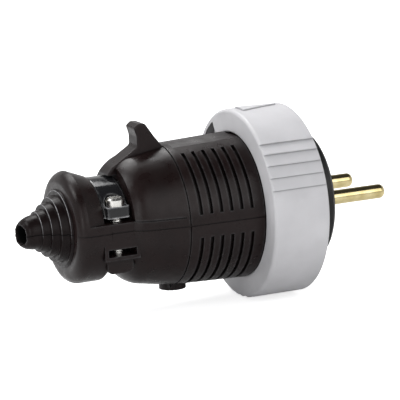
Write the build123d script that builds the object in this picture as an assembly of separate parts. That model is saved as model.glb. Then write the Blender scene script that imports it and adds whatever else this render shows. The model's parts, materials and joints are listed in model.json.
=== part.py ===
from build123d import *
import os

# Earthed mains plug with a turning locking ring and a stepped cable gland.
# X runs along the plug towards the pins, Z points up to the hook, and the
# origin is the centre of the front face that meets the socket. Millimetres.
# Angles around the plug start on the near side (-Y) and rise over the top.

# Contact pins and earth socket
pin_d = 4.0
pin_root_d = 4.8
pin_length = 19.0
pin_spacing = 19.0
pin_tip_round = 1.5
earth_offset = 10.0
earth_bore_d = 5.0
earth_bore_depth = 16.0
earth_tube_wall = 1.1
earth_slit = 0.8
earth_slit_length = 6.0
earth_lip = 1.2
earth_mouth_d = 6.0

# Pin carrier
carrier_r = 18.4
carrier_neck_r = 15.9
carrier_neck = 3.0
carrier_tail_r = 17.0
carrier_tail = 4.4
carrier_edge = 0.8
pillar_d = 6.4
pillar_drop = 4.0
slip_gap = 0.05
seat_gap = 0.1

# Terminals and their cover
terminal_side = 7.4
terminal_length = 9.0
wire_d = 3.2
wire_depth = 7.0
screw_d = 3.0
screw_head_d = 5.2
screw_head_h = 2.0
terminal_screw_length = 3.2
driver_slot = 0.9
driver_depth = 1.0
head_edge = 0.5
cover_thickness = 2.0
cover_r = 14.6
wire_hole_d = 5.6
cover_screw_length = 8.0

# Locking ring
ring_r = 26.0
ring_length = 16.1
ring_setback = 5.8
ring_wall = 2.6
ring_back = 2.6
ring_rear_round = 1.0
ring_front_edge = 0.6
ring_bore_round = 0.5
flute_sectors = 3
flute_count = 5
flute_start = 10.0
flute_pitch = 7.6
flute_angle = 6.9
flute_depth = 0.5
lug_count = 3
lug_start = 13.0
lug_angle = 34.0
lug_height = 1.6
lug_length = 2.4
lug_inset = 2.0
notch_start = 120.0
notch_angle = 22.0
notch_depth = 4.6
mark_angle = 89.5
mark_width = 5.2
mark_length = 11.0
mark_height = 0.4

# Housing outline, from the flange inside the ring back to the collar
running_gap = 0.35
seat_r = 19.4
flange_r = 22.6
flange_thickness = 2.5
rim_r = 20.1
grip_rear_r = 19.3
grip_length = 21.25
grip_round = 30.0
shoulder_r = 17.3
shoulder_run = 11.7
shoulder_drop = 4.4
shoulder_round = 8.0
neck_r = 13.4
neck_length = 2.8
neck_round = 0.8
collar_r = 15.2
collar_rise = 2.0
collar_front_round = 1.2
collar_length = 8.8
collar_round = 3.2
bevel_r = 13.2
bevel_slope = 0.4
collar_wall = 2.2
shell_wall = 2.2
cable_r = 8.0

# Grip grooves, the fine line behind them and the flat strip on top
groove_count = 6
groove_start = 3.2
groove_pitch = 2.9
groove_width = 1.0
groove_depth = 0.9
groove_top_stop = 65.0
groove_upper_stop = 8.0
groove_lower_stop = 10.5
line_width = 0.4
line_depth = 0.35
part_line_width = 0.36
part_line_depth = 0.3
side_line_stop = 1.0
strip_depth = 0.7

# Hook rib: distances behind the fine line, and heights over the grip there
hook_width = 6.4
hook_tail = 16.4
hook_tail_lift = 0.3
hook_knee = 15.0
hook_knee_drop = 4.3
hook_knee_round = 2.0
hook_throat = 7.4
hook_throat_low = 0.4
hook_throat_low_round = 1.2
hook_throat_high = 3.3
hook_throat_high_round = 1.8
hook_tip = 8.1
hook_tip_rise = 5.6
hook_tip_round = 0.7
hook_tip_run = 1.3
hook_crest = 4.9
hook_rise = 6.6
hook_crest_round = 1.3
hook_brow = 2.4
hook_brow_rise = 2.8
hook_brow_round = 3.0
hook_front = 0.2
hook_front_round = 1.0
hook_foot = 1.9
hook_root = 2.0
hook_edge = 0.5

# Clamp window in the neck, the bridge over the cable and its screws
window_front = 2.1
window_rear = 3.1
window_ledge = 2.4
bridge_gap = 0.4
bridge_r = 12.6
bridge_bore_r = 8.2
bridge_round = 0.5
ear_low = 3.6
ear_high = 6.7
ear_inset = 0.5
ear_reach = 13.6
clamp_screw_y = 11.2
clamp_head_d = 4.8
clamp_head_h = 2.1
clamp_tip = 6.3
clamp_clearance = 0.25
rail_reach = 14.95
rail_wall = 1.0
nut_slot_top = 4.4
nut_slot_low = 6.4
nut_side = 5.0
nut_thickness = 1.7
pad_inset = 0.3
pad_low = 11.4
pad_reach = 12.8
pad_round = 1.6

# Case screw in its boss under the housing
boss_shift = 1.9
boss_d = 7.4
boss_drop = 1.4
boss_round = 1.2
case_pillar_d = 7.0
case_head_sink = 0.5
case_screw_length = 25.0
case_bite = 0.05

# Rubber gland and seals
gland_length = 11.8
gland_lip = 0.65
gland_rim_r = 10.2
gland_steps = 4
gland_pitch = 2.05
gland_drop = 1.6
gland_draft = 0.4
gland_round = 0.3
gland_nose_r = 4.7
gland_tip_r = 3.0
gland_tip_round = 0.5
gland_bore_r = 2.3
gland_mouth = 3.0
gland_bore_base_r = 7.0
gland_flange_r = 12.6
gland_flange = 3.2
gland_neck_r = 8.9
face_seal_r = 22.3
face_seal_bore_r = 18.8
face_seal_thickness = 1.5
tail_seal_side = 1.5

# Stations along X worked out from the sizes above
ring_front_x = -ring_setback
ring_rear_x = ring_front_x - ring_length
ring_floor_x = ring_rear_x + ring_back
rim_x = ring_rear_x - running_gap
flange_rear_x = ring_floor_x + running_gap
flange_front_x = flange_rear_x + flange_thickness
line_x = rim_x - grip_length
shoulder_x = line_x - shoulder_run
neck_front_x = shoulder_x - shoulder_drop
neck_rear_x = neck_front_x - neck_length
collar_front_x = neck_rear_x - collar_rise
collar_rear_x = collar_front_x - collar_length
pocket_rear_x = collar_rear_x + collar_wall
pocket_front_x = pocket_rear_x + gland_flange + seat_gap
gland_tip_x = collar_rear_x - gland_length
window_front_x = neck_front_x + window_front
window_rear_x = neck_rear_x - window_rear
clamp_x = (window_front_x + window_rear_x) / 2
boss_x = line_x + boss_shift
neck_back_x = flange_front_x - carrier_neck
tail_back_x = neck_back_x - carrier_tail
terminal_back_x = tail_back_x - terminal_length
terminal_mid_x = tail_back_x - terminal_length / 2
cover_back_x = terminal_back_x - cover_thickness
tail_seal_x = (neck_back_x + tail_back_x) / 2

# Radii, heights and reaches worked out from the sizes above
ring_inner_r = ring_r - ring_wall
ring_bore_r = seat_r + running_gap
cavity_r = grip_rear_r - shell_wall
pin_y = pin_spacing / 2
boss_low = -grip_rear_r - boss_drop
case_head_low = boss_low + case_head_sink
case_seat_z = case_head_low + screw_head_h
far = ring_r + pin_length


def outline_face(points, rounds=()):
    """Flat face in the XZ plane from (x, z) points, with listed corners rounded."""
    face = make_face(Polyline(*[(x, 0, z) for x, z in points], close=True))
    for x, z, radius in rounds:
        corner = face.vertices().sort_by_distance((x, 0, z))[0]
        face = fillet(corner, radius)
    return face


def turned(points, rounds=()):
    """Solid turned about the X axis from (x, r) points."""
    return revolve(outline_face(points, rounds), Axis.X, 360)


def turned_sector(points, start, sweep, rounds=()):
    """Part of a turned solid, from one angle around the plug over a sweep."""
    sector = revolve(outline_face(points, rounds), Axis.X, sweep)
    return sector.rotate(Axis.X, 90 - start - sweep)


def band(x_low, x_high, r_low, r_high):
    """Four (x, r) points of a rectangular ring section."""
    return [(x_low, r_low), (x_high, r_low), (x_high, r_high), (x_low, r_high)]


def block(x, y, z):
    """Box between two limits on each axis, given as (low, high) pairs."""
    size = [high - low for low, high in (x, y, z)]
    centre = [(high + low) / 2 for low, high in (x, y, z)]
    return Pos(*centre) * Box(*size)


def rod_x(x, y, z, d):
    """Round bar along X between two ends."""
    return Pos((x[0] + x[1]) / 2, y, z) * Rot(0, 90, 0) * Cylinder(d / 2, x[1] - x[0])


def rod_z(x, y, z, d):
    """Round bar along Z between two ends."""
    return Pos(x, y, (z[0] + z[1]) / 2) * Cylinder(d / 2, z[1] - z[0])


def both_sides(solid):
    """A near-side form together with its mirror image on the far side."""
    return solid + mirror(solid, Plane.XZ)


def slotted_screw(head_d, head_h, length):
    """Screw along Z, with the underside of its slotted head at the origin."""
    head = Pos(0, 0, head_h / 2) * Cylinder(head_d / 2, head_h)
    head = chamfer(head.edges().group_by(Axis.Z)[-1], head_edge)
    slot = Pos(0, 0, head_h - driver_depth / 2) * Box(head_d, driver_slot, driver_depth)
    return head - slot + Pos(0, 0, -length / 2) * Cylinder(screw_d / 2, length)


def grip_r(x):
    """Radius of the tapered grip at station x."""
    return rim_r + (grip_rear_r - rim_r) * (rim_x - x) / grip_length


def housing_outer(inset=0.0):
    """Outside of the housing as one turned form, or a core that lies an inset below it."""
    return turned(
        [
            (flange_front_x, 0),
            (flange_front_x, flange_r),
            (flange_rear_x, flange_r),
            (flange_rear_x, seat_r),
            (rim_x, seat_r),
            (rim_x, rim_r - inset),
            (line_x, grip_rear_r - inset),
            (shoulder_x, shoulder_r - inset),
            (neck_front_x, neck_r - inset),
            (neck_rear_x, neck_r - inset),
            (collar_front_x, collar_r - inset),
            (collar_rear_x, collar_r - inset),
            (collar_rear_x, 0),
        ],
        [
            (line_x, grip_rear_r - inset, grip_round),
            (shoulder_x, shoulder_r - inset, shoulder_round),
            (neck_front_x, neck_r - inset, neck_round),
            (neck_rear_x, neck_r - inset, neck_round),
            (collar_front_x, collar_r - inset, collar_front_round),
            (collar_rear_x, collar_r - inset, collar_round),
        ],
    )


def housing_inner():
    """Inside of the housing: carrier seat, wiring room, cable path and gland pocket."""
    return turned(
        [
            (flange_front_x, 0),
            (flange_front_x, carrier_neck_r + seat_gap),
            (neck_back_x, carrier_neck_r + seat_gap),
            (neck_back_x, cavity_r),
            (line_x, cavity_r),
            (shoulder_x, shoulder_r - shell_wall),
            (neck_front_x, cable_r),
            (pocket_front_x, cable_r),
            (pocket_front_x, gland_flange_r + seat_gap),
            (pocket_rear_x, gland_flange_r + seat_gap),
            (pocket_rear_x, gland_neck_r + seat_gap),
            (collar_rear_x, gland_neck_r + seat_gap),
            (collar_rear_x, 0),
        ]
    )


def side_rails(inset=0.0):
    """Thick rails beside the cable path, with the rounded pads under the nut slots."""
    rail = block(
        (window_rear_x - rail_wall, window_front_x + rail_wall),
        (-rail_reach + inset, -cable_r),
        (-nut_slot_low - rail_wall, window_ledge),
    )
    pad = block(
        (window_rear_x + pad_inset, window_front_x - pad_inset),
        (-pad_reach, -cable_r),
        (-pad_low, -nut_slot_low),
    )
    pad = fillet(pad.edges().filter_by(Axis.Y).group_by(Axis.Z)[0], pad_round)
    return both_sides(rail + pad)


def clamp_holes():
    """Clearance holes for the two clamp screws through the rails."""
    hole = rod_z(clamp_x, -clamp_screw_y, (-clamp_tip - seat_gap, ear_high), screw_d + 2 * clamp_clearance)
    return both_sides(hole)


def skin_lines():
    """Fine lines in the skin: where the shells meet, and along the side bands over that joint."""
    core = housing_outer(part_line_depth) + side_rails(part_line_depth)
    half = part_line_width / 2
    joint = block((collar_rear_x, rim_x), (-far, far), (-half, half))
    edge = block(
        (window_front_x, line_x - side_line_stop),
        (-far, far),
        (window_ledge - half, window_ledge + half),
    )
    return joint + edge - core


def collar_bevel():
    """Cone that leaves the collar lower towards the clamp window, above the window's ledge."""
    rise = bevel_slope * (window_rear_x - collar_rear_x)
    cone = turned(
        [
            (window_rear_x, bevel_r),
            (collar_rear_x, bevel_r + rise),
            (collar_rear_x, far),
            (window_rear_x, far),
        ]
    )
    return cone & block((collar_rear_x, window_rear_x), (-far, far), (window_ledge, far))


def grip_grooves(upper):
    """Grip grooves of one shell, stopped short of the part line and the top strip."""
    cutters = Part()
    for i in range(groove_count):
        x = line_x + groove_start + i * groove_pitch
        low = grip_r(x) - groove_depth
        section = band(x - groove_width / 2, x + groove_width / 2, low, rim_r + groove_depth)
        if upper:
            sweep = groove_top_stop - groove_upper_stop
            cutters += both_sides(turned_sector(section, groove_upper_stop, sweep))
        else:
            sweep = 180 - 2 * groove_lower_stop
            cutters += turned_sector(section, groove_lower_stop - 180, sweep)
    return cutters


def fine_line():
    """Shallow line around the housing behind the grip."""
    low = grip_rear_r - line_depth
    return turned(band(line_x - line_width / 2, line_x + line_width / 2, low, rim_r))


def top_strip():
    """Wedge that leaves a narrow flat along the top of the grip."""
    flat = outline_face(
        [
            (line_x + hook_foot, grip_r(line_x + hook_foot) - strip_depth),
            (rim_x, rim_r - strip_depth),
            (rim_x, rim_r + strip_depth),
            (line_x + hook_foot, rim_r + strip_depth),
        ]
    )
    return extrude(flat, rim_r, dir=(0, 1, 0), both=True)


def hook_rib():
    """Rib that climbs from the neck window and ends in a hook that points rearwards."""
    tail_x = line_x - hook_tail
    tail_z = bridge_r + bridge_gap
    knee = (line_x - hook_knee, grip_rear_r - hook_knee_drop)
    throat_low = (line_x - hook_throat, grip_rear_r + hook_throat_low)
    throat_high = (line_x - hook_throat, grip_rear_r + hook_throat_high)
    tip = (line_x - hook_tip, grip_rear_r + hook_tip_rise)
    crest = (line_x - hook_crest, grip_rear_r + hook_rise)
    brow = (line_x - hook_brow, grip_rear_r + hook_brow_rise)
    front = (line_x - hook_front, grip_rear_r)
    foot_x = line_x + hook_foot
    profile = outline_face(
        [
            (tail_x, tail_z),
            (tail_x, tail_z + hook_tail_lift),
            knee,
            throat_low,
            throat_high,
            tip,
            (line_x - hook_tip + hook_tip_run, grip_rear_r + hook_rise),
            crest,
            brow,
            front,
            (foot_x, grip_rear_r - strip_depth),
            (foot_x, grip_rear_r - hook_root),
            (shoulder_x, tail_z),
        ],
        [
            (*knee, hook_knee_round),
            (*throat_low, hook_throat_low_round),
            (*throat_high, hook_throat_high_round),
            (*tip, hook_tip_round),
            (*crest, hook_crest_round),
            (*brow, hook_brow_round),
            (*front, hook_front_round),
        ],
    )
    rib = extrude(profile, hook_width / 2, dir=(0, 1, 0), both=True)
    side_edges = rib.faces().filter_by(Axis.Y).edges()
    return fillet([edge for edge in side_edges if edge.center().Z > knee[1]], hook_edge)


def make_shells():
    """Both halves of the housing, parted at the level of the axis."""
    body = housing_outer() + side_rails()
    body += rod_z(boss_x, 0, (boss_low, -cavity_r), boss_d)
    body = fillet(body.edges().filter_by(GeomType.CIRCLE).sort_by(Axis.Z)[0], boss_round)
    body -= housing_inner()
    body += rod_z(boss_x, 0, (-cavity_r - shell_wall / 2, cavity_r + shell_wall / 2), case_pillar_d)
    body -= clamp_holes()
    body -= fine_line()
    body -= skin_lines()

    lower = body & block((-far * 2, far), (-far, far), (-far, 0))
    lower -= grip_grooves(upper=False) - rod_z(boss_x, 0, (-far, 0), boss_d)
    slot = block(
        (window_rear_x, window_front_x),
        (-far, -clamp_screw_y + nut_side / 2 + seat_gap),
        (-nut_slot_low, -nut_slot_top),
    )
    lower -= both_sides(slot + nut_block(seat_gap))
    lower -= rod_z(boss_x, 0, (boss_low, case_seat_z), screw_head_d + 2 * seat_gap)
    lower -= rod_z(boss_x, 0, (case_seat_z, 0), screw_d + 2 * seat_gap)

    upper = body & block((-far * 2, far), (-far, far), (0, far))
    upper -= grip_grooves(upper=True)
    upper -= top_strip()
    upper -= block((window_rear_x, window_front_x), (-far, far), (window_ledge, far))
    upper -= collar_bevel()
    upper += hook_rib()
    tip_z = case_seat_z + case_screw_length
    upper -= rod_z(boss_x, 0, (0, tip_z + seat_gap), screw_d + 2 * case_bite)
    return upper, lower


def make_clamp_bridge():
    """Arched bridge over the cable, with a flat ear on each side for its screw."""
    front_x = window_front_x - bridge_gap
    rear_x = window_rear_x + bridge_gap
    edges = [(rear_x, bridge_r, bridge_round), (front_x, bridge_r, bridge_round)]
    arch = turned_sector(band(rear_x, front_x, bridge_bore_r, bridge_r), 0, 180, edges)
    arch &= block((rear_x, front_x), (-far, far), (ear_low, far))
    ear = block(
        (rear_x + ear_inset, front_x - ear_inset),
        (-ear_reach, -bridge_bore_r),
        (ear_low, ear_high),
    )
    ear = fillet(ear.edges().filter_by(Axis.Z).group_by(Axis.Y)[0], ear_inset)
    spot = rod_z(clamp_x, -clamp_screw_y, (ear_high, bridge_r), clamp_head_d + 2 * bridge_gap)
    bridge = arch + both_sides(ear) - both_sides(spot)
    return bridge - clamp_holes() - turned(band(rear_x, front_x, 0, bridge_bore_r))


def nut_block(gap=0.0):
    """Square nut in the roof of the near nut slot, or its pocket with a gap all round."""
    half = nut_side / 2 + gap
    return block(
        (clamp_x - half, clamp_x + half),
        (-clamp_screw_y - half, -clamp_screw_y + half),
        (-nut_slot_top, nut_thickness + gap - nut_slot_top),
    )


def make_clamp_fasteners():
    """Screw and square nut of the near side; the far side mirrors them."""
    length = ear_high + clamp_tip
    screw = Pos(clamp_x, -clamp_screw_y, ear_high) * slotted_screw(clamp_head_d, clamp_head_h, length)
    hole = rod_z(clamp_x, -clamp_screw_y, (-clamp_tip, ear_high), screw_d + 2 * slip_gap)
    return screw, nut_block() - hole


def make_case_screw():
    """Long screw that enters the boss from below and bites in the upper shell."""
    screw = slotted_screw(screw_head_d, screw_head_h, case_screw_length)
    return Pos(boss_x, 0, case_seat_z) * Rot(180, 0, 0) * screw


def make_locking_ring():
    """Cup-shaped ring with a rear wall, outer flutes and inner bayonet lugs."""
    ring = turned(
        [
            (ring_rear_x, ring_bore_r),
            (ring_rear_x, ring_r),
            (ring_front_x, ring_r),
            (ring_front_x, ring_inner_r),
            (ring_floor_x, ring_inner_r),
            (ring_floor_x, ring_bore_r),
        ],
        [
            (ring_rear_x, ring_r, ring_rear_round),
            (ring_front_x, ring_r, ring_front_edge),
            (ring_rear_x, ring_bore_r, ring_bore_round),
        ],
    )
    for sector in range(flute_sectors):
        for i in range(flute_count):
            start = flute_start + sector * 360 / flute_sectors + i * flute_pitch
            ring -= flute_cutter().rotate(Axis.X, -start)
    lug_front_x = ring_front_x - lug_inset
    lug = band(lug_front_x - lug_length, lug_front_x, ring_inner_r - lug_height, ring_inner_r + ring_wall / 2)
    for i in range(lug_count):
        ring += turned_sector(lug, lug_start + i * 360 / lug_count, lug_angle)
    notch = band(ring_rear_x, ring_floor_x, seat_r, ring_bore_r + notch_depth)
    ring -= turned_sector(notch, notch_start, notch_angle)
    mid_x = (ring_rear_x + ring_front_x) / 2
    mark = make_face(
        Polyline(
            (mid_x - mark_length / 2, -mark_width / 2, 0),
            (mid_x - mark_length / 2, mark_width / 2, 0),
            (mid_x + mark_length / 2, 0, 0),
            close=True,
        )
    )
    mark = Pos(0, 0, ring_inner_r + ring_wall / 2) * extrude(mark, ring_wall, dir=(0, 0, 1))
    shell = turned(band(ring_rear_x, ring_front_x, ring_inner_r + ring_wall / 2, ring_r + mark_height))
    return ring + (mark & shell).rotate(Axis.X, 90 - mark_angle)


def flute_cutter():
    """Saw-tooth sliver on the near side, from no depth at its low edge to full depth."""
    start = Vector(0, -ring_r, 0)
    outer = Vector(0, -ring_r - flute_depth, 0).rotate(Axis.X, -flute_angle)
    inner = Vector(0, -ring_r + flute_depth, 0).rotate(Axis.X, -flute_angle)
    edge = make_face(Polyline(start, outer, inner, close=True))
    return Pos(ring_rear_x, 0, 0) * extrude(edge, ring_length, dir=(1, 0, 0))


def make_face_seal():
    """Flat seal on the housing flange, where the socket's collar presses."""
    return turned(band(flange_front_x, flange_front_x + face_seal_thickness, face_seal_bore_r, face_seal_r))


def tail_seal(gap=0.0):
    """Seal around the carrier's tail, or its groove with a gap all round."""
    half = tail_seal_side / 2 + gap
    return turned(
        band(tail_seal_x - half, tail_seal_x + half, carrier_tail_r - tail_seal_side - gap, carrier_tail_r)
    )


def make_pin_carrier():
    """Insulating disc that carries the pins and the earth socket, clasped by the shells."""
    carrier = turned(
        [
            (0, 0),
            (0, carrier_r - carrier_edge),
            (-carrier_edge, carrier_r),
            (flange_front_x, carrier_r),
            (flange_front_x, carrier_neck_r),
            (neck_back_x, carrier_neck_r),
            (neck_back_x, carrier_tail_r),
            (tail_back_x, carrier_tail_r),
            (tail_back_x, 0),
        ]
    )
    carrier -= tail_seal(slip_gap)
    for y in (-pin_y, pin_y):
        carrier -= rod_x((tail_back_x, 0), y, 0, pin_root_d + 2 * slip_gap)
    tube_d = earth_bore_d + 2 * earth_tube_wall
    carrier -= rod_x((-earth_lip, 0), 0, earth_offset, earth_mouth_d)
    carrier -= rod_x((tail_back_x, -earth_lip), 0, earth_offset, tube_d + 2 * slip_gap)
    carrier += rod_x((terminal_back_x, tail_back_x), 0, -pillar_drop, pillar_d)
    bite = rod_x(
        (terminal_back_x, cover_back_x + cover_screw_length + seat_gap),
        0,
        -pillar_drop,
        screw_d + 2 * case_bite,
    )
    return carrier - bite


def terminal(y, z):
    """Square terminal block with its wire hole and its screw hole from above."""
    half = terminal_side / 2
    body = block((terminal_back_x, tail_back_x), (y - half, y + half), (z - half, z + half))
    body -= rod_x((terminal_back_x, terminal_back_x + wire_depth), y, z, wire_d)
    return body - rod_z(terminal_mid_x, y, (z, z + half), screw_d + 2 * slip_gap)


def make_pin(y):
    """Contact pin with a rounded tip and a thicker root, in one piece with its terminal."""
    pin = rod_x((0, pin_length), y, 0, pin_d)
    pin = fillet(pin.edges().filter_by(GeomType.CIRCLE).sort_by(Axis.X)[-1], pin_tip_round)
    return pin + rod_x((tail_back_x, 0), y, 0, pin_root_d) + terminal(y, 0)


def make_earth_contact():
    """Slit socket for the earth pin, in one piece with its terminal."""
    tube_d = earth_bore_d + 2 * earth_tube_wall
    tube = rod_x((tail_back_x, -earth_lip - seat_gap), 0, earth_offset, tube_d)
    tube -= rod_x((-earth_lip - earth_bore_depth, 0), 0, earth_offset, earth_bore_d)
    tube -= block(
        (-earth_lip - earth_slit_length, 0),
        (-earth_slit / 2, earth_slit / 2),
        (earth_offset - tube_d, earth_offset + tube_d),
    )
    return tube + terminal(0, earth_offset)


def make_terminal_screw(y, z):
    """Slotted screw that closes a terminal from above."""
    screw = slotted_screw(screw_head_d, screw_head_h, terminal_screw_length)
    return Pos(terminal_mid_x, y, z + terminal_side / 2) * screw


def make_terminal_cover():
    """Plate behind the terminals, with a hole for each wire."""
    cover = turned(band(cover_back_x, terminal_back_x, 0, cover_r))
    for y, z in ((-pin_y, 0), (pin_y, 0), (0, earth_offset)):
        cover -= rod_x((cover_back_x, terminal_back_x), y, z, wire_hole_d)
    return cover - rod_x((cover_back_x, terminal_back_x), 0, -pillar_drop, screw_d + 2 * seat_gap)


def make_cover_screw():
    """Screw that holds the cover on the carrier's pillar."""
    screw = slotted_screw(screw_head_d, screw_head_h, cover_screw_length)
    return Pos(cover_back_x, 0, -pillar_drop) * Rot(0, -90, 0) * screw


def make_cable_gland():
    """Rubber cone in steps, cut open at its tip, with a flange held inside the collar."""
    outside = []
    rims = []
    x = collar_rear_x
    for i in range(gland_steps):
        rim = (collar_rear_x - gland_lip - i * gland_pitch, gland_rim_r - i * gland_drop)
        outside += [(x, rim[1] + gland_draft), rim]
        rims.append((*rim, gland_round))
        x = rim[0]
    outside += [(x, gland_nose_r), (gland_tip_x, gland_tip_r)]
    rims.append((gland_tip_x, gland_tip_r, gland_tip_round))
    inside = [
        (gland_tip_x, gland_bore_r),
        (gland_tip_x + gland_mouth, gland_bore_r),
        (collar_rear_x, gland_bore_base_r),
        (pocket_rear_x + gland_flange, gland_bore_base_r),
        (pocket_rear_x + gland_flange, gland_flange_r),
        (pocket_rear_x, gland_flange_r),
        (pocket_rear_x, gland_neck_r),
        (collar_rear_x, gland_neck_r),
    ]
    return turned(outside + inside, rims)


def main():
    """Build every piece and write one file for each."""
    upper_shell, lower_shell = make_shells()
    near_screw, near_nut = make_clamp_fasteners()
    pieces = {
        "upper_shell": upper_shell,
        "lower_shell": lower_shell,
        "cable_gland": make_cable_gland(),
        "clamp_bridge": make_clamp_bridge(),
        "near_clamp_screw": near_screw,
        "far_clamp_screw": mirror(near_screw, Plane.XZ),
        "near_clamp_nut": near_nut,
        "far_clamp_nut": mirror(near_nut, Plane.XZ),
        "case_screw": make_case_screw(),
        "locking_ring": make_locking_ring(),
        "face_seal": make_face_seal(),
        "tail_seal": tail_seal(),
        "pin_carrier": make_pin_carrier(),
        "line_pin": make_pin(-pin_y),
        "neutral_pin": make_pin(pin_y),
        "earth_contact": make_earth_contact(),
        "line_screw": make_terminal_screw(-pin_y, 0),
        "neutral_screw": make_terminal_screw(pin_y, 0),
        "earth_screw": make_terminal_screw(0, earth_offset),
        "terminal_cover": make_terminal_cover(),
        "cover_screw": make_cover_screw(),
    }
    os.makedirs("parts", exist_ok=True)
    for name, piece in pieces.items():
        export_step(piece, f"parts/{name}.step")


if __name__ == "__main__":
    main()
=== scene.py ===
"""Looks of an earthed mains plug with a turning grey locking ring.

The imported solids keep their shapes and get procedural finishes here. What is too fine or too soft for
the solids, the screw threads and the rubber gland, is made of parametric surfaces worked out with
numpy. Everything is in metres, in the frame of the plug: X towards the pins, Z towards the hook.
"""

import json
import logging
import math
from abc import ABC, abstractmethod
from dataclasses import dataclass, field
from enum import Enum
from typing import ClassVar

import bpy
import numpy as np
from mathutils import Matrix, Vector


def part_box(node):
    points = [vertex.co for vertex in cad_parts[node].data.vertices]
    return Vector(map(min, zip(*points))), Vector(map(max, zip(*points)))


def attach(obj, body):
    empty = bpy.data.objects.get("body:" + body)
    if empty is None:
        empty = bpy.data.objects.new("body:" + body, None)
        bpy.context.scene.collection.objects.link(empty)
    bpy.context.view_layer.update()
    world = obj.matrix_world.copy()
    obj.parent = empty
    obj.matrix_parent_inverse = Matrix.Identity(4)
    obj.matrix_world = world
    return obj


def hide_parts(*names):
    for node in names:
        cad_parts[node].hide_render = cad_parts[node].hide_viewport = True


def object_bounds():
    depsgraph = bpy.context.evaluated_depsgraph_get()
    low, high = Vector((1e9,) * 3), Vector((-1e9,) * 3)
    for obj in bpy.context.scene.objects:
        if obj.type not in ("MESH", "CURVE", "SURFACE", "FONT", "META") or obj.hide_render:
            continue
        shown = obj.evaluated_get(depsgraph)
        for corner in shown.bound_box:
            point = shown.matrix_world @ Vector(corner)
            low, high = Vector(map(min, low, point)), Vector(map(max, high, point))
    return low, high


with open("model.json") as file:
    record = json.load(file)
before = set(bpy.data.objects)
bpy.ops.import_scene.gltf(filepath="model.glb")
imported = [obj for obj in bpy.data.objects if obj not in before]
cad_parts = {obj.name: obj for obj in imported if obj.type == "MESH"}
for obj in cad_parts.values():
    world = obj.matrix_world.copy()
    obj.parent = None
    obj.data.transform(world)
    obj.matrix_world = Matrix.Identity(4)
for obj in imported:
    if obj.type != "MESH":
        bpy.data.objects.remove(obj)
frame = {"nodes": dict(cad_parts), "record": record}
CAD_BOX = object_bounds()
MM = 0.001
WHITE = (1.0, 1.0, 1.0)
BLACK = (0.0, 0.0, 0.0)
NOISE_BAND = (0.3, 0.7)
OCCLUSION_SAMPLES = 8
ANGLE_DIGITS = 6

Socket = bpy.types.NodeSocket
Colour = tuple[float, float, float]
Place = tuple[float, float, float]
Range = tuple[float, float]

log = logging.getLogger("plug")


class Body(Enum):
    """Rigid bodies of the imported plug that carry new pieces."""

    PLUG = "plug"


class Slot(Enum):
    """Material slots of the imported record."""

    HOUSING = "housing_black"
    CLAMP = "clamp_black"
    RING = "ring_grey"
    CARRIER = "carrier_black"
    GLAND = "gland_rubber"
    SEAL = "seal_rubber"
    BRASS = "contact_brass"
    STEEL = "screw_steel"


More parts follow.
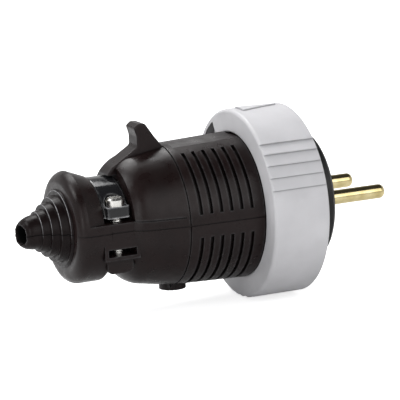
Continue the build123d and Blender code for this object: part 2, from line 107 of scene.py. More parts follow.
class NodeSheet:
    """The node tree of a material or a world, with short calls to add and join its nodes."""

    def __init__(
        self,
        owner: bpy.types.Material | bpy.types.World,
        output: str = "ShaderNodeOutputMaterial",
        coordinates: str = "Object",
    ) -> None:
        """Empty the node tree and give it an output.

        Args:
            owner: Material or world that the nodes belong to.
            output: Blender's type name of the output node.
            coordinates: Name of the texture coordinates that the nodes read.
        """
        owner.use_nodes = True
        self.tree = owner.node_tree
        self.tree.nodes.clear()
        self.output = self.add(output)
        self.coords = self.add("ShaderNodeTexCoord").outputs[coordinates]

    def add(self, kind: str, **settings: object) -> bpy.types.Node:
        """Add a node.

        Args:
            kind: Blender's type name of the node.
            settings: Properties to set on it.

        Returns:
            The new node.
        """
        node = self.tree.nodes.new(kind)
        for key, value in settings.items():
            setattr(node, key, value)
        return node

    def join(self, source: Socket, target: Socket) -> None:
        """Link an output to an input."""
        self.tree.links.new(source, target)

    def stretched(self, scale: Place) -> Socket:
        """The coordinates, scaled on each axis.

        Args:
            scale: Factor on X, Y and Z.

        Returns:
            The vector output.
        """
        mapping = self.add("ShaderNodeMapping")
        mapping.inputs["Scale"].default_value = scale
        self.join(self.coords, mapping.inputs["Vector"])
        return mapping.outputs["Vector"]

    def height(self) -> Socket:
        """The coordinates' Z.

        Returns:
            The value output.
        """
        split = self.add("ShaderNodeSeparateXYZ")
        self.join(self.coords, split.inputs["Vector"])
        return split.outputs["Z"]

    def noise(self, grain: float, detail: float = 3.0, vector: Socket | None = None) -> Socket:
        """Noise with a given size of grain.

        Args:
            grain: Size of the grain in metres.
            detail: Number of octaves.
            vector: Coordinates to read, or the sheet's own.

        Returns:
            The value output, from 0 to 1.
        """
        node = self.add("ShaderNodeTexNoise")
        node.inputs["Scale"].default_value = 1.0 / grain
        node.inputs["Detail"].default_value = detail
        self.join(vector or self.coords, node.inputs["Vector"])
        return node.outputs["Fac"]

    def ramp(self, value: Socket, positions: Range, colours: tuple[Colour, Colour]) -> Socket:
        """Turn a value into colours between two.

        Args:
            value: Value from 0 to 1.
            positions: Values at which the two colours stand.
            colours: The two colours, linear.

        Returns:
            The colour output.
        """
        node = self.add("ShaderNodeValToRGB")
        for element, position, colour in zip(node.color_ramp.elements, positions, colours):
            element.position = position
            element.color = (*colour, 1.0)
        self.join(value, node.inputs["Fac"])
        return node.outputs["Color"]

    def span(self, value: Socket, source: Range, result: Range) -> Socket:
        """Map one range of values to another and hold its ends.

        Args:
            value: Value to map.
            source: First and last value of the range.
            result: What they become.

        Returns:
            The mapped value.
        """
        node = self.add("ShaderNodeMapRange")
        for name, number in zip(("From Min", "From Max", "To Min", "To Max"), source + result):
            node.inputs[name].default_value = number
        self.join(value, node.inputs["Value"])
        return node.outputs["Result"]

    def between(self, value: Socket, low: float, high: float) -> Socket:
        """Map a value from the band where noise mostly lies to low and high."""
        return self.span(value, NOISE_BAND, (low, high))

    def combined(self, operation: str, first: Socket, second: Socket | float) -> Socket:
        """Combine a value with another one or with a number.

        Args:
            operation: Blender's name of the operation.
            first: First value.
            second: Second value, or a number.

        Returns:
            The resulting value.
        """
        node = self.add("ShaderNodeMath", operation=operation)
        self.join(first, node.inputs[0])
        if isinstance(second, float):
            node.inputs[1].default_value = second
        else:
            self.join(second, node.inputs[1])
        return node.outputs["Value"]

    def times(self, first: Socket, second: Socket | float) -> Socket:
        """The product of two values."""
        return self.combined("MULTIPLY", first, second)

    def larger(self, first: Socket, second: Socket) -> Socket:
        """The larger of two values."""
        return self.combined("MAXIMUM", first, second)

    def away_from_level(self, half_height: float, blank: float = 0.6) -> Socket:
        """How far a point lies from the level of the axis.

        Args:
            half_height: Height over or under the axis from which the result is 1, in metres.
            blank: Share of that height up to which the result is 0.

        Returns:
            The value output.
        """
        node = self.add("ShaderNodeMath", operation="ABSOLUTE")
        self.join(self.height(), node.inputs[0])
        return self.span(node.outputs["Value"], (blank * half_height, half_height), (0.0, 1.0))

    def openness(self, reach: float, inside: bool = False) -> Socket:
        """How free a point lies: 1 on a plain surface and less in a corner or groove.

        Args:
            reach: How far away other surfaces count, in metres.
            inside: Look into the solid, which finds outer edges in place of inner corners.

        Returns:
            The value output.
        """
        node = self.add(
            "ShaderNodeAmbientOcclusion", samples=OCCLUSION_SAMPLES, only_local=True, inside=inside
        )
        node.inputs["Distance"].default_value = reach
        return node.outputs["AO"]

    def attribute(self, name: str) -> Socket:
        """The value of a mesh attribute, or 0 where a mesh has none of that name."""
        return self.add("ShaderNodeAttribute", attribute_name=name).outputs["Fac"]

    def mixed(self, share: Socket, base: Socket, colour: Colour) -> Socket:
        """A colour output with a share of a second colour.

        Args:
            share: Share of the second colour, from 0 to 1.
            base: First colour.
            colour: Second colour, linear.

        Returns:
            The colour output.
        """
        node = self.add("ShaderNodeMixRGB")
        node.inputs["Color2"].default_value = (*colour, 1.0)
        self.join(share, node.inputs["Fac"])
        self.join(base, node.inputs["Color1"])
        return node.outputs["Color"]

    def bump(
        self, height: Socket, depth: float, strength: float = 1.0, below: Socket | None = None
    ) -> Socket:
        """Bump from a height value.

        Args:
            height: Height from 0 to 1.
            depth: What a height of 1 stands for, in metres.
            strength: Share of the effect.
            below: Normal of a coarser bump under this one.

        Returns:
            The normal output.
        """
        node = self.add("ShaderNodeBump")
        node.inputs["Distance"].default_value = depth
        node.inputs["Strength"].default_value = strength
        self.join(height, node.inputs["Height"])
        if below is not None:
            self.join(below, node.inputs["Normal"])
        return node.outputs["Normal"]

    def surface(self, **constants: object) -> bpy.types.Node:
        """Add the surface shader and join it to the output.

        Args:
            constants: Socket names, with _ for a space, and their constant values.

        Returns:
            The shader node.
        """
        shader = self.add("ShaderNodeBsdfPrincipled")
        for key, value in constants.items():
            shader.inputs[key.replace("_", " ")].default_value = value
        self.join(shader.outputs["BSDF"], self.output.inputs["Surface"])
        return shader


def shade(colour: Colour, factor: float) -> Colour:
    """A lighter or darker version of a colour."""
    return tuple(min(1.0, c * factor) for c in colour)


@dataclass(frozen=True, kw_only=True)
class Finish(ABC):
    """A finish, which can be made into a material."""

    @abstractmethod
    def draw(self, sheet: NodeSheet) -> None:
        """Add the finish's nodes to a sheet."""

    def build(self, name: str) -> bpy.types.Material:
        """Make the material.

        Args:
            name: Name of the material.

        Returns:
            The new material.
        """
        material = bpy.data.materials.new(name)
        self.draw(NodeSheet(material))
        return material


@dataclass(frozen=True, kw_only=True)
class Moulding(Finish):
    """A moulded surface, with dull and shiny areas and slow waves under a fine grain.

    Attributes:
        colour: Main colour, linear.
        roughness: Lowest and highest roughness.
        specular: Specular level.
        cloud: Size of the clouds in the colour, in metres.
        polish: Size of the dull and shiny areas in metres.
        wave: Size of the waves in metres.
        wave_depth: Depth of the waves in metres.
        wave_strength: Share of the waves' effect.
        wave_detail: Number of octaves in the waves.
        grain: Size of the surface grain in metres.
        grain_detail: Number of octaves in the grain.
        depth: Depth of the grain in metres.
    """

    colour: Colour
    roughness: Range
    specular: float = 0.5
    cloud: float = 9.0 * MM
    polish: float = 3.2 * MM
    wave: float = 5.0 * MM
    wave_depth: float = 0.05 * MM
    wave_strength: float = 0.35
    wave_detail: float = 2.0
    grain: float = 0.30 * MM
    grain_detail: float = 2.0
    depth: float = 0.012 * MM

    @abstractmethod
    def tint(self, sheet: NodeSheet) -> Socket:
        """The colour output."""

    def dullness(self, sheet: NodeSheet) -> Socket:
        """The roughness output, duller and shinier in patches."""
        return sheet.between(sheet.noise(self.polish), *self.roughness)

    def draw(self, sheet: NodeSheet) -> None:
        """Add the finish's nodes.

        Args:
            sheet: Sheet that gets the nodes.
        """
        shader = sheet.surface(Specular_IOR_Level=self.specular)
        sheet.join(self.tint(sheet), shader.inputs["Base Color"])
        sheet.join(self.dullness(sheet), shader.inputs["Roughness"])
        slow = sheet.noise(self.wave, self.wave_detail)
        wave = sheet.bump(slow, self.wave_depth, self.wave_strength)
        fine = sheet.bump(sheet.noise(self.grain, self.grain_detail), self.depth, below=wave)
        sheet.join(fine, shader.inputs["Normal"])


@dataclass(frozen=True, kw_only=True)
class MouldedPlastic(Moulding):
    """Injection-moulded plastic with a mottled colour, painted shade in its corners and grooves, and
    edges paled by scuffing and a painted highlight.

    Attributes:
        mottle: Share by which the colour varies.
        scuff_and_highlight: Colour of the pale edges, scuffing with a painted highlight, linear.
        edge: Reach of the pale band from an edge in metres.
        edge_band: Openness at which an edge is fully pale, and not at all.
        edge_patch: Size of the patches in the pale band, in metres.
        edge_patch_share: Least and most paleness in them.
        parting: Half height of the stretch around the parting line that is spared, in metres.
        crevice_shade: Colour of the painted shade in corners and grooves, linear.
        crevice: Reach of a corner or groove, in metres.
        crevice_band: Openness at which the painted shade is full, and at which there is none.
        crevice_shade_strength: Share of the painted shade where it is thickest.
    """

    mottle: float = 0.12
    scuff_and_highlight: Colour = (0.03, 0.03, 0.03)
    edge: float = 0.60 * MM
    edge_band: Range = (0.55, 0.90)
    edge_patch: float = 1.4 * MM
    edge_patch_share: Range = (0.2, 1.0)
    parting: float = 0.8 * MM
    crevice_shade: Colour = BLACK
    crevice: float = 1.2 * MM
    crevice_band: Range = (0.35, 0.90)
    crevice_shade_strength: float = 0.8

    def tint(self, sheet: NodeSheet) -> Socket:
        """The colour: mottled, with painted shade in crevices and with edges paled by scuffing and a
        painted highlight.

        Args:
            sheet: Sheet that gets the nodes.

        Returns:
            The colour output.
        """
        low, high = shade(self.colour, 1 - self.mottle), shade(self.colour, 1 + self.mottle)
        plain = sheet.ramp(sheet.noise(self.cloud, detail=4.0), NOISE_BAND, (low, high))
        # Painted shade: the colour goes towards the shade colour where corners and grooves close in.
        shade_share = sheet.span(sheet.openness(self.crevice), self.crevice_band, (self.crevice_shade_strength, 0.0))
        shaded = sheet.mixed(shade_share, plain, self.crevice_shade)
        # Pale edges: scuffing together with a painted highlight along the outer edges.
        edges = sheet.span(sheet.openness(self.edge, inside=True), self.edge_band, (1.0, 0.0))
        patchy = sheet.times(edges, sheet.between(sheet.noise(self.edge_patch), *self.edge_patch_share))
        edge_share = sheet.times(patchy, sheet.away_from_level(self.parting))
        return sheet.mixed(edge_share, shaded, self.scuff_and_highlight)


@dataclass(frozen=True, kw_only=True)
class MattRubber(Moulding):
    """Black rubber with a dull bloom in patches and a slightly uneven skin.

    Attributes:
        bloom: Colour of the bloom, linear.
        bloom_band: Noise at which the bloom starts and is full.
    """

    bloom: Colour
    bloom_band: Range = (0.38, 0.75)
    specular: float = 0.20
    cloud: float = 4.0 * MM
    polish: float = 1.6 * MM
    wave: float = 2.4 * MM
    wave_depth: float = 0.06 * MM
    wave_strength: float = 0.5
    wave_detail: float = 3.0
    grain: float = 0.22 * MM

    def tint(self, sheet: NodeSheet) -> Socket:
        """The colour output, with its bloom."""
        return sheet.ramp(sheet.noise(self.cloud, detail=5.0), self.bloom_band, (self.colour, self.bloom))


@dataclass(frozen=True, kw_only=True)
class GlandRubber(MattRubber):
    """Rubber with pale rims on its steps, and painted shade on its mould seam and in its mouth.

    The pale rims are scuffing with a painted highlight on their upper part, and the painted shade is
    black. The mesh says where: its attribute rim_scuff_and_highlight_share is 1 on the upper part of a
    rim, and its attribute dark is 1 on the seam and in the mouth.

    Attributes:
        rim_scuff_and_highlight: Colour of a pale rim, scuffing with a painted highlight, linear.
        edge_patch: Size of the patches on the rims, in metres.
        edge_patch_share: Least and most paleness in them.
    """

    rim_scuff_and_highlight: Colour = (0.34, 0.34, 0.35)
    edge_patch: float = 0.9 * MM
    edge_patch_share: Range = (0.25, 1.0)

    def tint(self, sheet: NodeSheet) -> Socket:
        """The colour, with bloom, pale rims with a painted highlight, and painted shade in places.

        Args:
            sheet: Sheet that gets the nodes.

        Returns:
            The colour output.
        """
        # Pale rims: scuffing with a painted highlight, which the mesh keeps to their upper part.
        patchy = sheet.between(sheet.noise(self.edge_patch), *self.edge_patch_share)
        scuff_and_highlight = sheet.times(sheet.attribute("rim_scuff_and_highlight_share"), patchy)
        rims = sheet.mixed(scuff_and_highlight, super().tint(sheet), self.rim_scuff_and_highlight)
        # Painted shade: black on the mould seam and in the mouth.
        return sheet.mixed(sheet.attribute("painted_shade"), rims, BLACK)

    def dullness(self, sheet: NodeSheet) -> Socket:
        """The roughness output, fully dull where painted shade is."""
        return sheet.larger(super().dullness(sheet), sheet.attribute("painted_shade"))


@dataclass(frozen=True, kw_only=True)
class DrawnMetal(Finish):
    """Bare or plated metal with fine marks along one axis and slight tarnish.

    Attributes:
        colour: Bright colour, linear.
        tarnish: Colour of the dull areas, linear.
        roughness: Lowest and highest roughness.
        marks: Scale of the fine marks on X, Y and Z; a small figure draws them out along that axis.
        cloud: Size of the tarnished areas in metres.
        tarnish_band: Noise at which the tarnish starts and is full.
        mark_size: Width of a mark in metres.
        mark_depth: Depth of a mark in metres.
    """

    colour: Colour
    tarnish: Colour
    roughness: Range
    marks: Place
    cloud: float = 3.0 * MM
    tarnish_band: Range = (0.35, 0.80)
    mark_size: float = 0.25 * MM
    mark_depth: float = 0.004 * MM

    def draw(self, sheet: NodeSheet) -> None:
        """Add the finish's nodes.

        Args:
            sheet: Sheet that gets the nodes.
        """
        shader = sheet.surface(Metallic=1.0)
        clouds = sheet.noise(self.cloud, detail=4.0)
        tint = sheet.ramp(clouds, self.tarnish_band, (self.colour, self.tarnish))
        sheet.join(tint, shader.inputs["Base Color"])
        streaks = sheet.noise(self.mark_size, vector=sheet.stretched(self.marks))
        sheet.join(sheet.between(streaks, *self.roughness), shader.inputs["Roughness"])
        sheet.join(sheet.bump(streaks, self.mark_depth), shader.inputs["Normal"])


@dataclass(frozen=True, kw_only=True)
class PaleFloor(Finish):
    """White floor that stays white to the camera and keeps a soft shadow.

    Attributes:
        colour: Diffuse colour, linear.
        lift: Light added towards the camera, so that the lit floor reads as white.
        mirrored: Light added in reflections, for the same reason.
    """

    colour: Colour = (0.80, 0.80, 0.80)
    lift: float = 0.72
    mirrored: float = 0.10

    def draw(self, sheet: NodeSheet) -> None:
        """Add the finish's nodes.

        Args:
            sheet: Sheet that gets the nodes.
        """
        diffuse = sheet.add("ShaderNodeBsdfDiffuse")
        diffuse.inputs["Color"].default_value = (*self.colour, 1.0)
        path = sheet.add("ShaderNodeLightPath").outputs
        direct = sheet.larger(path["Is Camera Ray"], path["Is Transmission Ray"])
        gloss = sheet.times(path["Is Glossy Ray"], self.mirrored)
        glow = sheet.add("ShaderNodeEmission")
        strength = sheet.combined("ADD", sheet.times(direct, self.lift), gloss)
        sheet.join(strength, glow.inputs["Strength"])
        total = sheet.add("ShaderNodeAddShader")
        sheet.join(diffuse.outputs["BSDF"], total.inputs[0])
        sheet.join(glow.outputs["Emission"], total.inputs[1])
        sheet.join(total.outputs["Shader"], sheet.output.inputs["Surface"])


@dataclass
class Dresser:
    """Makes each finish once and hands it to nodes and pieces.

    Attributes:
        FINISHES: Finish of each slot.
        made: Finished materials by slot.
    """

    FINISHES: ClassVar[dict[Slot, Finish]] = {
        # Moulded plastics: painted shade in corners and grooves, and pale edges of scuffing with a
        # painted highlight.
        Slot.HOUSING: MouldedPlastic(
            colour=(0.0092, 0.0050, 0.0048),
            roughness=(0.24, 0.40),
            mottle=0.25,
            specular=0.17,
            scuff_and_highlight=(0.034, 0.032, 0.033),
        ),
        # The clamp's pale edges are mostly a painted highlight on its black gloss, with some scuffing.
        Slot.CLAMP: MouldedPlastic(
            colour=(0.009, 0.009, 0.010),
            roughness=(0.06, 0.16),
            grain=0.6 * MM,
            depth=0.004 * MM,
            specular=0.36,
            scuff_and_highlight=(0.42, 0.42, 0.43),
        ),
        # The ring's grooves get a grey painted shade.
        Slot.RING: MouldedPlastic(
            colour=(0.512, 0.505, 0.518),
            roughness=(0.38, 0.52),
            mottle=0.06,
            specular=0.30,
            scuff_and_highlight=(0.50, 0.50, 0.51),
            crevice_shade=(0.20, 0.20, 0.21),
        ),
        Slot.CARRIER: MouldedPlastic(
            colour=(0.008, 0.0076, 0.0076),
            roughness=(0.36, 0.50),
            mottle=0.2,
            specular=0.25,
        ),
        # The gland's pale rims carry a painted highlight and its seam and mouth a black painted shade.
        Slot.GLAND: GlandRubber(
            colour=(0.0056, 0.0032, 0.0032),
            bloom=(0.0100, 0.0066, 0.0066),
            roughness=(0.24, 0.38),
            specular=0.09,
        ),
        Slot.SEAL: MattRubber(
            colour=(0.020, 0.020, 0.020),
            bloom=(0.035, 0.035, 0.035),
            roughness=(0.55, 0.70),
        ),
        Slot.BRASS: DrawnMetal(
            colour=(0.66, 0.565, 0.32),
            tarnish=(0.44, 0.35, 0.15),
            roughness=(0.08, 0.18),
            marks=(0.05, 1.0, 1.0),
        ),
        Slot.STEEL: DrawnMetal(
            colour=(0.78, 0.77, 0.74),
            tarnish=(0.56, 0.54, 0.50),
            roughness=(0.16, 0.34),
            marks=(1.0, 1.0, 0.2),
        ),
    }

    made: dict[Slot, bpy.types.Material] = field(default_factory=dict)

    def finish(self, slot: Slot) -> bpy.types.Material:
        """The material of a slot, made at its first use.

        Args:
            slot: The slot.

        Returns:
            The material, which has the slot's name.
        """
        if slot not in self.made:
            self.made[slot] = self.FINISHES[slot].build(slot.value)
        return self.made[slot]

    def dress_node(self, node: str, slot: Slot) -> None:
        """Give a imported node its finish.

        Args:
            node: Name of the node.
            slot: Slot whose finish it gets.
        """
        mesh = frame["nodes"][node].data
        mesh.materials.clear()
        mesh.materials.append(self.finish(slot))
        log.info("dressed %s as %s", node, slot.value)

    def dress_piece(self, piece: bpy.types.Object, slot: Slot, body: Body) -> None:
        """Give a new piece its finish and the body it rides on.

        Args:
            piece: The piece's object.
            slot: Slot whose finish it gets.
            body: Body that carries it.
        """
        piece.data.materials.append(self.finish(slot))
        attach(piece, body.value)
        log.info("made %s in %s on %s", piece.name, slot.value, body.value)

    def dress_all(self) -> None:
        """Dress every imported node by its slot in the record."""
        for part in frame["record"]["subparts"]:
            self.dress_node(part["node"], Slot(part["material_slot"]))


def put(name: str, data: bpy.types.ID) -> bpy.types.Object:
    """Put a mesh, lamp or camera in the scene.

    Args:
        name: Name of the object.
        data: What the object shows.

    Returns:
        The new object, at the origin.
    """
    thing = bpy.data.objects.new(name, data)
    bpy.context.scene.collection.objects.link(thing)
    return thing


def stand(right: np.ndarray, up: np.ndarray, back: np.ndarray, place: np.ndarray) -> Matrix:
    """Matrix of a lamp or camera, which looks against its back direction.

    Args:
        right: Direction of its X axis.
        up: Direction of its Y axis.
        back: Direction of its Z axis.
        place: Where it stands.

    Returns:
        The matrix from its own axes to the scene.
    """
    matrix = Matrix(np.column_stack([right, up, back]).tolist()).to_4x4()
    matrix.translation = place.tolist()
    return matrix


def skin(name: str, points: np.ndarray, round_rows: bool, round_columns: bool) -> bpy.types.Object:
    """Make a smooth mesh from a grid of points.

    The cell at row i and column j becomes the face between points (i, j), (i+1, j), (i+1, j+1) and
    (i, j+1), so a face points along the row step crossed with the column step. A round direction
    joins its last points to its first.

    Args:
        name: Name of the piece.
        points: Grid of shape (rows, columns, 3) in metres.
        round_rows: Whether the rows close on themselves.
        round_columns: Whether the columns close on themselves.

    Returns:
        The new object, with its place in its mesh.
    """
    rows, columns = points.shape[:2]
    i, j = np.meshgrid(
        np.arange(rows if round_rows else rows - 1),
        np.arange(columns if round_columns else columns - 1),
        indexing="ij",
    )
    down, across = (i + 1) % rows, (j + 1) % columns
    corners = [i * columns + j, down * columns + j, down * columns + across, i * columns + across]
    faces = np.stack(corners, axis=-1).reshape(-1, 4)
    mesh = bpy.data.meshes.new(name)
    mesh.from_pydata(points.reshape(-1, 3).tolist(), [], faces.tolist())
    mesh.polygons.foreach_set("use_smooth", np.ones(len(faces), dtype=bool))
    mesh.update()
    return put(name, mesh)


@dataclass
class ClampThreads:
    """Threads on the two clamp screws, where they show above the ledge and in the nut slot.

    Attributes:
        dresser: Gives the finish.
        shank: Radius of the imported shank.
        ridge: Height of the thread over the shank.
        sink: Share of the ridge by which the thread's root lies in the shank.
        pitch: Rise of the thread in one turn.
        runs: Name, lowest and highest height of each stretch that shows.
        fade: Length over which the thread runs out at either end.
        turn_points: Points around the screw.
        pitch_points: Points along one pitch.
    """

    dresser: Dresser
    shank: float = 1.5 * MM
    ridge: float = 0.13 * MM
    sink: float = 0.15
    pitch: float = 0.5 * MM
    runs: tuple[tuple[str, float, float], ...] = (
        ("upper", 1.6 * MM, 3.7 * MM),
        ("slot", -6.2 * MM, -4.4 * MM),
    )
    fade: float = 0.35 * MM
    turn_points: int = 48
    pitch_points: int = 10

    def surface(self, x: float, y: float, low: float, high: float) -> np.ndarray:
        """Points of one stretch of thread.

        The radius is the shank's radius plus the ridge times a triangle wave of height over pitch
        minus turn, and the ridge fades out towards both ends, where the surface dips into the shank.

        Args:
            x: Place of the screw's axis on X.
            y: Place of the screw's axis on Y.
            low: Lowest height of the stretch.
            high: Highest height of the stretch.

        Returns:
            Grid of points, rows around the screw and columns upwards.
        """
        turn = np.linspace(0.0, 1.0, self.turn_points, endpoint=False)[:, None]
        steps = int((high - low) / self.pitch * self.pitch_points) + 1
        height = np.linspace(low, high, steps)[None, :]
        wave = 1.0 - np.abs(2.0 * np.mod(height / self.pitch - turn, 1.0) - 1.0)
        ends = np.clip(np.minimum(height - low, high - height) / self.fade, 0.0, 1.0)
        radius = self.shank + self.ridge * (wave * ends - self.sink)
        angle = 2.0 * np.pi * turn
        level = np.broadcast_to(height, radius.shape)
        return np.stack([x + radius * np.cos(angle), y + radius * np.sin(angle), level], axis=-1)

    def build(self) -> None:
        """Make and dress the threads of both screws."""
        for side in ("near", "far"):
            low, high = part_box(f"{side}_clamp_screw")
            x, y = (low.x + high.x) / 2, (low.y + high.y) / 2
            for run, start, end in self.runs:
                piece = skin(f"{side}_thread_{run}", self.surface(x, y, start, end), True, False)
                self.dresser.dress_piece(piece, Slot.STEEL, Body.PLUG)


@dataclass
class SteppedGland:
    """Rubber gland in steps, cut open by hand at its soft nose, in place of the plain packed one.

    Attributes:
        dresser: Gives the finish.
        length: From the collar's rear to the tip.
        steps: Count of the steps.
        lip: From the collar's rear to the first rim.
        rim_radius: Radius of the first rim.
        pitch: From one rim to the next.
        drop: Loss of radius from one rim to the next.
        draft: Growth of radius from a rim to the foot of its step.
        nose: Distance from the tip and radius of each point of the nose outline, tip last.
        mouth: Distance from the tip and radius of each point of the mouth, tip first.
        bore: Radius of the room inside.
        flange: Radius and thickness of the flange inside the collar.
        neck: Radius of the neck that passes through the collar.
        rounding: How far a plain corner is rounded, and a corner of the nose.
        rounding_limit: Largest share of a side that a rounding takes.
        slant: How far the tip is cut back on the far side, and how much further on the near side.
        sag: How far the tip hangs.
        waves: Height in metres, count around and start in radians of each wave of the rough cut.
        cut_from: Share of the nose's length at which the rough cut starts.
        cut_radial: Share of the waves' height that goes into the radius too.
        seam_width: Half width of the mould seam.
        seam_depth: Depth of the mould seam.
        rim_highlight_rise: Sine of the angle around the axis where the rims' painted highlight starts and
            is full.
        mouth_shade_depth: From the tip into the mouth, the length over which the painted shade grows to
            full.
        bend_points: Points along a rounded corner.
        side_points: Points along a straight side.
        turn_points: Points around the axis.
        seam_points: Extra points on either side of a seam.
        seam_step: Angle between those points, in radians.
    """

    dresser: Dresser
    length: float = 11.8 * MM
    steps: int = 4
    lip: float = 0.65 * MM
    rim_radius: float = 10.24 * MM
    pitch: float = 2.05 * MM
    drop: float = 1.6 * MM
    draft: float = 0.4 * MM
    nose: tuple[Range, ...] = (
        (5.00 * MM, 4.75 * MM),
        (3.00 * MM, 4.50 * MM),
        (1.10 * MM, 3.95 * MM),
        (0.00 * MM, 3.18 * MM),
    )
    mouth: tuple[Range, ...] = ((0.00 * MM, 2.60 * MM), (3.0 * MM, 2.3 * MM))
    bore: float = 7.0 * MM
    flange: Range = (12.6 * MM, 3.2 * MM)
    neck: float = 8.9 * MM
    rounding: Range = (0.16 * MM, 0.90 * MM)
    rounding_limit: float = 0.45
    slant: Range = (0.22 * MM, 1.15 * MM)
    sag: float = 0.38 * MM
    waves: tuple[tuple[float, int, float], ...] = (
        (0.06 * MM, 2, 0.4),
        (0.05 * MM, 5, 1.9),
        (0.04 * MM, 11, 0.7),
        (0.03 * MM, 23, 2.6),
    )
    cut_from: float = 0.9
    cut_radial: float = 0.4
    seam_width: float = 0.13 * MM
    seam_depth: float = 0.12 * MM
    rim_highlight_rise: Range = (-0.20, 0.50)
    mouth_shade_depth: float = 1.10 * MM
    bend_points: int = 7
    side_points: int = 5
    turn_points: int = 144
    seam_points: int = 6
    seam_step: float = 0.006

    def corners(self, tip: float, front: float) -> tuple[np.ndarray, np.ndarray, np.ndarray]:
        """Corners of the gland's outline, from the collar over the steps to the tip and back inside.

        Args:
            tip: Place of the tip on X.
            front: Place of the flange's front on X.

        Returns:
            Corners as X and radius, how far each is rounded, and which of them are rims.
        """
        collar = tip + self.length
        order = np.arange(self.steps)
        rim_x = collar - self.lip - order * self.pitch
        rim_r = self.rim_radius - order * self.drop
        foot_x = np.concatenate([[collar], rim_x[:-1]])
        feet = np.stack([foot_x, rim_r + self.draft], axis=-1)
        stairs = np.stack([feet, np.stack([rim_x, rim_r], axis=-1)], axis=1).reshape(-1, 2)
        back = front - self.flange[1]
        room = [(collar, self.bore), (front, self.bore), (front, self.flange[0]), (back, self.flange[0])]
        end = room + [(back, self.neck), (collar, self.neck)]
        nose = [(rim_x[-1], self.nose[0][1])] + [(tip + ahead, r) for ahead, r in self.nose[1:]]
        mouth = [(tip + ahead, r) for ahead, r in self.mouth]
        outline = np.concatenate([stairs, nose, mouth, end])
        rounded = np.full(len(outline), self.rounding[0])
        rounded[len(stairs) + 1 : len(stairs) + len(nose) - 1] = self.rounding[1]
        rims = np.zeros(len(outline))
        rims[1 : len(stairs) : 2] = 1.0
        return outline, rounded, rims

    def outline(self, tip: float, front: float) -> tuple[np.ndarray, np.ndarray]:
        """Rounded outline of the gland.

        Each corner becomes a parabola between the two points that lie its rounding away along its
        sides, and each straight side in between gets evenly spaced points.

        Args:
            tip: Place of the tip on X.
            front: Place of the flange's front on X.

        Returns:
            Points as X and radius, against the order of corners, and how much each is on a rim.
        """
        corner, rounded, rims = self.corners(tip, front)
        ahead = np.roll(corner, -1, axis=0) - corner
        behind = -np.roll(ahead, 1, axis=0)
        after = np.linalg.norm(ahead, axis=1)
        before = np.roll(after, 1)
        leave = corner + ahead * (np.minimum(rounded, self.rounding_limit * after) / after)[:, None]
        enter = corner + behind * (np.minimum(rounded, self.rounding_limit * before) / before)[:, None]
        t = np.linspace(0.0, 1.0, self.bend_points)[None, :, None]
        bend = (1 - t) ** 2 * enter[:, None] + 2 * t * (1 - t) * corner[:, None] + t**2 * leave[:, None]
        u = (np.arange(1, self.side_points + 1) / (self.side_points + 1))[None, :, None]
        run = leave[:, None] + u * (np.roll(enter, -1, axis=0) - leave)[:, None]
        peak = 4.0 * t[0, :, 0] * (1.0 - t[0, :, 0])
        scuff_and_highlight = np.concatenate([rims[:, None] * peak, np.zeros((len(rims), self.side_points))], axis=1)
        points = np.concatenate([bend, run], axis=1)
        return points.reshape(-1, 2)[::-1], scuff_and_highlight.reshape(-1)[::-1]

    def angles(self) -> np.ndarray:
        """Angles of the grid's rows, evenly spaced and closer on both seams.

        Returns:
            Angles from the far side over the top, in radians.
        """
        close = np.arange(-self.seam_points, self.seam_points + 1) * self.seam_step
        turns = np.linspace(0.0, 2.0 * np.pi, self.turn_points, endpoint=False)
        every = np.concatenate([turns, close % (2 * np.pi), close + np.pi])
        return np.unique(every.round(ANGLE_DIGITS))

    def surface(self, tip: float, front: float) -> tuple[np.ndarray, np.ndarray, np.ndarray]:
        """Points of the gland, with its pale rims and its places of painted shade.

        The outline is turned about the axis. From the last rim to the tip a share w grows from 0 to
        1: the nose moves forward by the slant, most on its near side, and hangs by the sag, both times
        w squared, and the last stretch of w adds a sum of sine waves around the axis. Where the
        surface crosses the level of the axis, its radius dips by the seam's bell curve.

        Args:
            tip: Place of the tip on X.
            front: Place of the flange's front on X.

        Returns:
            Grid of points, rows around the axis and columns along the outline; how much each is on the
            upper part of a rim, pale with scuffing and a painted highlight; and how much each is on the
            seam or in the mouth, which get painted shade.
        """
        outline, scuff_and_highlight = self.outline(tip, front)
        x, radius = outline[None, :, 0], outline[None, :, 1]
        angle = self.angles()[:, None]
        nose_length = self.nose[0][0]
        w = np.clip((tip + nose_length - x) / nose_length, 0.0, 1.0)
        rough = sum(size * np.sin(count * angle + start) for size, count, start in self.waves)
        edge = np.clip((w - self.cut_from) / (1.0 - self.cut_from), 0.0, 1.0)
        seam = np.exp(-((radius * np.sin(angle) / self.seam_width) ** 2))
        ring = radius - self.seam_depth * seam + self.cut_radial * rough * edge
        cut = self.slant[0] + self.slant[1] * (1.0 - np.cos(angle)) / 2
        along = x + cut * w**2 + rough * edge
        points = np.stack(
            [along, ring * np.cos(angle), ring * np.sin(angle) - self.sag * w**2], axis=-1
        )
        # Painted highlight: the rims' paleness fades out towards their lower part, away from the light
        # above.
        start, full = self.rim_highlight_rise
        upper = np.clip((np.sin(angle) - start) / (full - start), 0.0, 1.0)
        # Painted shade: black on the seam and inside the mouth, growing from the tip inwards.
        deep = np.clip((x - tip) / self.mouth_shade_depth, 0.0, 1.0) * (radius <= self.mouth[0][1])
        return points, scuff_and_highlight[None, :] * upper, np.maximum(seam, deep)

    def build(self) -> None:
        """Make and dress the gland."""
        low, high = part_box("cable_gland")
        points, scuff_and_highlight, painted_shade = self.surface(low.x, high.x)
        piece = skin("stepped_gland", points, True, True)
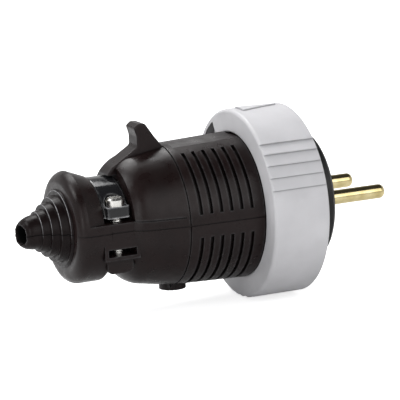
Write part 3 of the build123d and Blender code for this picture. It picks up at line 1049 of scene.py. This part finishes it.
        # Mesh attributes for the finish: pale rims with a painted highlight, and painted shade.
        for name, values in (("rim_scuff_and_highlight_share", scuff_and_highlight), ("painted_shade", painted_shade)):
            layer = piece.data.attributes.new(name, "FLOAT", "POINT")
            layer.data.foreach_set("value", values.astype(np.float32).ravel())
        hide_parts("cable_gland")
        self.dresser.dress_piece(piece, Slot.GLAND, Body.PLUG)


@dataclass(frozen=True)
class Softbox:
    """A soft lamp that faces the plug's middle.

    Attributes:
        name: Name of the lamp.
        place: Its centre in metres.
        size: Its width and height in metres.
        power: Its power in watts.
    """

    name: str
    place: Place
    size: Range
    power: float

    def add(self, target: np.ndarray) -> None:
        """Put the lamp in the scene.

        Args:
            target: Point that it faces.
        """
        data = bpy.data.lights.new(self.name, "AREA")
        data.shape = "RECTANGLE"
        data.size, data.size_y = self.size
        data.energy = self.power
        place = np.array(self.place)
        back = (place - target) / np.linalg.norm(place - target)
        side = np.cross([0.0, 0.0, 1.0], back)
        side = side / np.linalg.norm(side)
        put(self.name, data).matrix_world = stand(side, np.cross(back, side), back, place)


@dataclass
class Studio:
    """Camera, lights, floor and white surroundings.

    The camera looks at the plug from behind and above its near side. Its turn, rise and roll are
    angles of the view line, and the pixel of the ring's rear centre says where the picture's middle
    lies, sideways and upwards from that point.

    Attributes:
        SOFTBOXES: The lamps.
        turn: Angle between the plug's axis and the level view line, in degrees.
        rise: Height of the camera over the horizon, in degrees.
        roll: Lean of the picture, in degrees.
        distance: From the plane through the ring's rear centre to the camera, in metres.
        pixels_per_mm: Scale of the picture at that plane.
        ring_pixel: Where the ring's rear centre lies in the picture.
        picture: Width of the picture in pixels.
        sensor: Width of the camera's sensor in millimetres.
        lit: Point that the lamps face.
        floor_reach: From the origin to each side of the floor, in metres.
        floor_gap: From the plug's lowest point down to the floor, in metres.
        horizon: Heights of a direction between which the surroundings get darker in reflections.
        horizon_glow: Their strength at those two heights.
        fill: Strength of the light from all sides.
        fill_colour: Colour of that light, linear.
    """

    SOFTBOXES: ClassVar[tuple[Softbox, ...]] = (
        Softbox("back_softbox", (-0.06, 0.26, 0.40), (0.36, 0.22), 1.9),
        Softbox("rear_top_softbox", (-0.46, 0.14, 0.42), (0.26, 0.20), 1.3),
        Softbox("front_panel", (0.10, -0.85, 0.50), (1.20, 0.80), 5.0),
        Softbox("rear_strip", (-0.50, -0.30, 0.14), (0.10, 0.36), 0.50),
    )

    turn: float = 66.31
    rise: float = 11.83
    roll: float = -2.85
    distance: float = 0.700
    pixels_per_mm: float = 3.656
    ring_pixel: Range = (234.5, 203.6)
    picture: int = 400
    sensor: float = 36.0
    lit: Place = (-0.035, 0.0, 0.0)
    floor_reach: float = 6.0
    floor_gap: float = 0.3 * MM
    horizon: Range = (0.32, 0.72)
    horizon_glow: Range = (0.84, 0.05)
    fill: float = 0.44
    fill_colour: Colour = (0.95, 0.97, 1.0)

    def axes(self) -> np.ndarray:
        """Directions of the camera.

        Returns:
            Its right, up and view directions, as the rows of an array.
        """
        turn, rise, roll = (math.radians(a) for a in (self.turn, self.rise, self.roll))
        ahead = np.array(
            [
                math.cos(turn) * math.cos(rise),
                math.sin(turn) * math.cos(rise),
                -math.sin(rise),
            ]
        )
        level = np.array([math.sin(turn), -math.cos(turn), 0.0])
        upright = np.cross(level, ahead)
        right = math.cos(roll) * level + math.sin(roll) * upright
        up = -math.sin(roll) * level + math.cos(roll) * upright
        return np.array([right, up, ahead])

    def add_camera(self) -> None:
        """Place the camera at the photograph's viewing angle."""
        right, up, ahead = self.axes()
        ring_rear = np.array([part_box("locking_ring")[0].x, 0.0, 0.0])
        middle = self.picture / 2
        aside = (self.ring_pixel[0] - middle) / self.pixels_per_mm * MM
        above = (middle - self.ring_pixel[1]) / self.pixels_per_mm * MM
        place = ring_rear - aside * right - above * up - self.distance * ahead
        data = bpy.data.cameras.new("camera")
        data.sensor_width = self.sensor
        data.lens = self.sensor * self.pixels_per_mm * self.distance / MM / self.picture
        camera = put("camera", data)
        camera.matrix_world = stand(right, up, -ahead, place)
        bpy.context.scene.camera = camera

    def add_lights(self) -> None:
        """Large soft lamps above, ahead and behind, as in a product picture."""
        for softbox in self.SOFTBOXES:
            softbox.add(np.array(self.lit))

    def add_floor(self) -> None:
        """A wide flat floor just under the ring."""
        level = CAD_BOX[0].z - self.floor_gap
        sides = ((-1, -1), (1, -1), (1, 1), (-1, 1))
        corners = [(x * self.floor_reach, y * self.floor_reach, level) for x, y in sides]
        mesh = bpy.data.meshes.new("floor")
        mesh.from_pydata(corners, [], [(0, 1, 2, 3)])
        mesh.materials.append(PaleFloor().build("pale_floor"))
        put("floor", mesh)

    def add_surroundings(self) -> None:
        """White to the camera, pale round the horizon in reflections, and a soft grey as fill."""
        world = bpy.data.worlds.new("surroundings")
        bpy.context.scene.world = world
        sheet = NodeSheet(world, "ShaderNodeOutputWorld", "Generated")
        path = sheet.add("ShaderNodeLightPath").outputs
        glow = sheet.span(sheet.height(), self.horizon, self.horizon_glow)
        seen = sheet.add("ShaderNodeBackground")
        seen.inputs["Color"].default_value = (*WHITE, 1.0)
        sheet.join(sheet.larger(path["Is Camera Ray"], glow), seen.inputs["Strength"])
        fill = sheet.add("ShaderNodeBackground")
        fill.inputs["Color"].default_value = (*self.fill_colour, 1.0)
        fill.inputs["Strength"].default_value = self.fill
        shown = sheet.larger(path["Is Camera Ray"], path["Is Glossy Ray"])
        mix = sheet.add("ShaderNodeMixShader")
        sheet.join(sheet.larger(shown, path["Is Transmission Ray"]), mix.inputs["Fac"])
        sheet.join(fill.outputs["Background"], mix.inputs[1])
        sheet.join(seen.outputs["Background"], mix.inputs[2])
        sheet.join(mix.outputs["Shader"], sheet.output.inputs["Surface"])

    def build(self) -> None:
        """Set the whole stage."""
        bpy.context.scene.view_settings.view_transform = "Standard"
        self.add_camera()
        self.add_lights()
        self.add_floor()
        self.add_surroundings()


def main() -> None:
    """Dress the plug and set the stage."""
    logging.basicConfig(level=logging.INFO, format="%(name)s: %(message)s")
    dresser = Dresser()
    dresser.dress_all()
    ClampThreads(dresser).build()
    SteppedGland(dresser).build()
    Studio().build()


if __name__ == "__main__":
    main()
